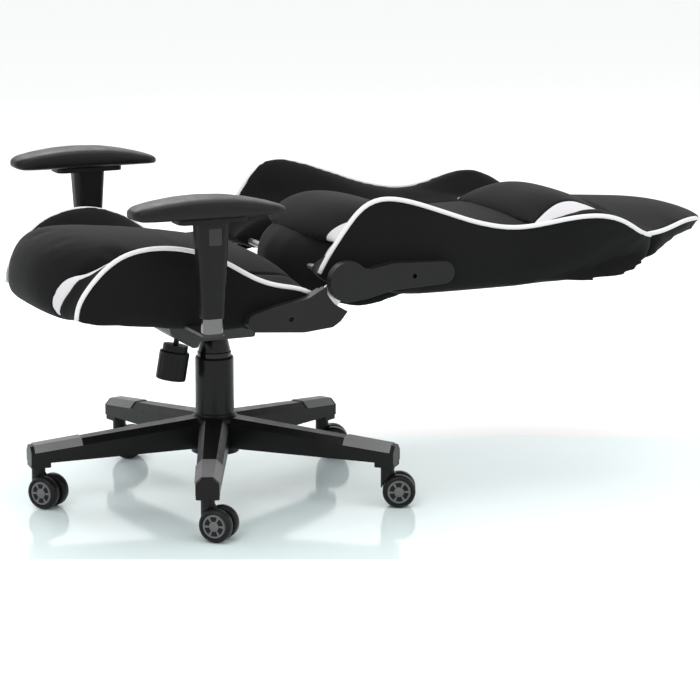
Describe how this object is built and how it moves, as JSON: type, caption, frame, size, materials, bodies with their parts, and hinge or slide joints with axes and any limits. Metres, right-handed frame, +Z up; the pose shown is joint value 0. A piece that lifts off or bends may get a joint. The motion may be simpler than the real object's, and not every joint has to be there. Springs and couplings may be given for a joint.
{
  "type": "gaming chair",
  "caption": "Reclining gaming chair: winged seat and backrest with piping, hinge covers, height-adjusted armrests, tilt mechanism, gas lift and a star base on twin-wheel casters.",
  "frame": {"origin": "on the floor, under the gas lift's axis", "axes": "+Z up, -Y the way a sitter faces, +X the sitter's left, with the backrest lying back along +Y"},
  "size_m": [0.72, 1.3966, 0.6106],
  "materials": {
    "base_nylon": "satin",
    "tread_plastic": "ribbed matt",
    "cylinder_steel": "satin",
    "cover_plastic": "satin",
    "gloss_cover": "gloss",
    "rod_chrome": "polished",
    "bare_steel": "zinc plated",
    "black_steel": "powder coat",
    "grip_plastic": "satin",
    "dark_fabric": "woven",
    "pad_fabric": "woven",
    "rear_fabric": "woven",
    "post_chrome": "polished",
    "sleeve_plastic": "satin",
    "armpad_foam": "soft satin",
    "button_plastic": "gloss",
    "hinge_plastic": "fine grain",
    "caster_nylon": "satin",
    "wheel_nylon": "satin"
  },
  "bodies": {
    "base": {"star_base": "base_nylon", "leg_grips": "tread_plastic", "gas_cylinder": "cylinder_steel", "lower_cover": "cover_plastic"},
    "lift": {"piston_rod": "rod_chrome", "upper_cover": "gloss_cover"},
    "lift_pin": {"lift_pin": "bare_steel"},
    "mechanism": {"mechanism_housing": "black_steel", "tilt_shaft": "bare_steel", "tension_spring": "bare_steel"},
    "tension_knob": {"tension_knob": "grip_plastic"},
    "lift_lever": {"lift_lever": "grip_plastic"},
    "seat": {"seat_plate": "black_steel", "seat_frame": "black_steel", "seat_bolts": "bare_steel", "seat_cushion": "dark_fabric", "seat_bolster_left": "dark_fabric", "seat_bolster_right": "dark_fabric", "armrest_bracket_left": "black_steel", "armrest_bracket_right": "black_steel", "armrest_post_left": "post_chrome", "armrest_post_right": "post_chrome", "seat_hinge_cover_left": "hinge_plastic", "seat_hinge_cover_right": "hinge_plastic", "recliner_base_left": "bare_steel", "recliner_base_right": "bare_steel"},
    "back": {"back_frame": "black_steel", "back_cushion": "dark_fabric", "lumbar_pad": "pad_fabric", "head_pad": "pad_fabric", "back_panel": "rear_fabric", "recliner_arm_left": "bare_steel", "recliner_arm_right": "bare_steel", "back_hinge_cover_left": "hinge_plastic", "back_hinge_cover_right": "hinge_plastic", "back_bolster_left": "dark_fabric", "back_bolster_right": "dark_fabric"},
    "recline_lever": {"recline_lever": "grip_plastic", "sync_rod": "bare_steel"},
    "armrest_left": {"armrest_sleeve_left": "sleeve_plastic", "armrest_pad_left": "armpad_foam"},
    "armrest_right": {"armrest_sleeve_right": "sleeve_plastic", "armrest_pad_right": "armpad_foam"},
    "armrest_button_left": {"armrest_button_left": "button_plastic"},
    "armrest_button_right": {"armrest_button_right": "button_plastic"},
    "caster_1": {"caster_fork_1": "caster_nylon"},
    "wheel_1a": {"caster_wheel_1a": "wheel_nylon"},
    "wheel_1b": {"caster_wheel_1b": "wheel_nylon"},
    "caster_2": {"caster_fork_2": "caster_nylon"},
    "wheel_2a": {"caster_wheel_2a": "wheel_nylon"},
    "wheel_2b": {"caster_wheel_2b": "wheel_nylon"},
    "caster_3": {"caster_fork_3": "caster_nylon"},
    "wheel_3a": {"caster_wheel_3a": "wheel_nylon"},
    "wheel_3b": {"caster_wheel_3b": "wheel_nylon"},
    "caster_4": {"caster_fork_4": "caster_nylon"},
    "wheel_4a": {"caster_wheel_4a": "wheel_nylon"},
    "wheel_4b": {"caster_wheel_4b": "wheel_nylon"},
    "caster_5": {"caster_fork_5": "caster_nylon"},
    "wheel_5a": {"caster_wheel_5a": "wheel_nylon"},
    "wheel_5b": {"caster_wheel_5b": "wheel_nylon"}
  },
  "joints": [
    {"name": "lift", "type": "slide", "parent": "base", "child": "lift", "axis": [0, 0, 1], "range_m": [0, 0.08]},
    {"name": "lift_pin", "type": "slide", "parent": "lift", "child": "lift_pin", "axis": [0, 0, -1], "range_m": [0, 0.0038], "stiffness_N_per_m": 600, "springref_m": -0.002},
    {"name": "swivel", "type": "hinge", "parent": "lift", "child": "mechanism", "pos_m": [0, 0, 0.31], "axis": [0, 0, 1], "continuous": true},
    {"name": "tension_knob", "type": "hinge", "parent": "mechanism", "child": "tension_knob", "pos_m": [0, -0.077, 0.2735], "axis": [0, 0.1736, 0.9848], "continuous": true},
    {"name": "lift_lever", "type": "hinge", "parent": "mechanism", "child": "lift_lever", "pos_m": [-0.03, 0, 0.321], "axis": [0, 1, 0], "range_deg": [0, 6], "stiffness_Nm_per_rad": 4, "springref_deg": -28.65},
    {"name": "tilt", "type": "hinge", "parent": "mechanism", "child": "seat", "pos_m": [0, -0.045, 0.324], "axis": [-1, 0, 0], "range_deg": [0, 10], "stiffness_Nm_per_rad": 180, "springref_deg": -40.11},
    {"name": "recline", "type": "hinge", "parent": "seat", "child": "back", "pos_m": [0, 0.1443, 0.4313], "axis": [1, 0, 0], "range_deg": [0, 85]},
    {"name": "recline_lever", "type": "hinge", "parent": "seat", "child": "recline_lever", "pos_m": [-0.29, 0.1443, 0.4313], "axis": [-1, 0, 0], "range_deg": [0, 25], "stiffness_Nm_per_rad": 0.8, "springref_deg": -34.38},
    {"name": "armrest_left", "type": "slide", "parent": "seat", "child": "armrest_left", "axis": [0, 0, 1], "range_m": [0, 0.07]},
    {"name": "armrest_button_left", "type": "slide", "parent": "armrest_left", "child": "armrest_button_left", "axis": [-1, 0, 0], "range_m": [0, 0.003], "stiffness_N_per_m": 400, "springref_m": -0.002},
    {"name": "armrest_right", "type": "slide", "parent": "seat", "child": "armrest_right", "axis": [0, 0, 1], "range_m": [0, 0.07]},
    {"name": "armrest_button_right", "type": "slide", "parent": "armrest_right", "child": "armrest_button_right", "axis": [1, 0, 0], "range_m": [0, 0.003], "stiffness_N_per_m": 400, "springref_m": -0.002},
    {"name": "caster_1", "type": "hinge", "parent": "base", "child": "caster_1", "pos_m": [0.30421, -0.13544, 0.09], "axis": [0, 0, 1], "continuous": true},
    {"name": "wheel_1a", "type": "hinge", "parent": "caster_1", "child": "wheel_1a", "pos_m": [0.33002, -0.13155, 0.03], "axis": [0.7071, -0.7071, 0], "continuous": true},
    {"name": "wheel_1b", "type": "hinge", "parent": "caster_1", "child": "wheel_1b", "pos_m": [0.3081, -0.10963, 0.03], "axis": [0.7071, -0.7071, 0], "continuous": true},
    {"name": "caster_2", "type": "hinge", "parent": "base", "child": "caster_2", "pos_m": [0.22282, 0.24747, 0.09], "axis": [0, 0, 1], "continuous": true},
    {"name": "wheel_2a", "type": "hinge", "parent": "caster_2", "child": "wheel_2a", "pos_m": [0.24574, 0.25995, 0.03], "axis": [0.9063, -0.4226, 0], "continuous": true},
    {"name": "wheel_2b", "type": "hinge", "parent": "caster_2", "child": "wheel_2b", "pos_m": [0.21765, 0.27305, 0.03], "axis": [0.9063, -0.4226, 0], "continuous": true},
    {"name": "caster_3", "type": "hinge", "parent": "base", "child": "caster_3", "pos_m": [-0.1665, 0.28839, 0.09], "axis": [0, 0, 1], "continuous": true},
    {"name": "wheel_3a", "type": "hinge", "parent": "caster_3", "child": "wheel_3a", "pos_m": [-0.14527, 0.30357, 0.03], "axis": [0.9511, -0.309, 0], "continuous": true},
    {"name": "wheel_3b", "type": "hinge", "parent": "caster_3", "child": "wheel_3b", "pos_m": [-0.17475, 0.31315, 0.03], "axis": [0.9511, -0.309, 0], "continuous": true},
    {"name": "caster_4", "type": "hinge", "parent": "base", "child": "caster_4", "pos_m": [-0.32572, -0.06924, 0.09], "axis": [0, 0, 1], "continuous": true},
    {"name": "wheel_4a", "type": "hinge", "parent": "caster_4", "child": "wheel_4a", "pos_m": [-0.30058, -0.06223, 0.03], "axis": [0.788, -0.6157, 0], "continuous": true},
    {"name": "wheel_4b", "type": "hinge", "parent": "caster_4", "child": "wheel_4b", "pos_m": [-0.32501, -0.04314, 0.03], "axis": [0.788, -0.6157, 0], "continuous": true},
    {"name": "caster_5", "type": "hinge", "parent": "base", "child": "caster_5", "pos_m": [-0.03481, -0.33118, 0.09], "axis": [0, 0, 1], "continuous": true},
    {"name": "wheel_5a", "type": "hinge", "parent": "caster_5", "child": "wheel_5a", "pos_m": [-0.00871, -0.33137, 0.03], "axis": [0.5878, -0.809, 0], "continuous": true},
    {"name": "wheel_5b", "type": "hinge", "parent": "caster_5", "child": "wheel_5b", "pos_m": [-0.02693, -0.30629, 0.03], "axis": [0.5878, -0.809, 0], "continuous": true}
  ],
  "couplings": [
    {"joint": "lift_pin", "follows": "lift_lever", "m_per_rad": 0.034377}
  ]
}
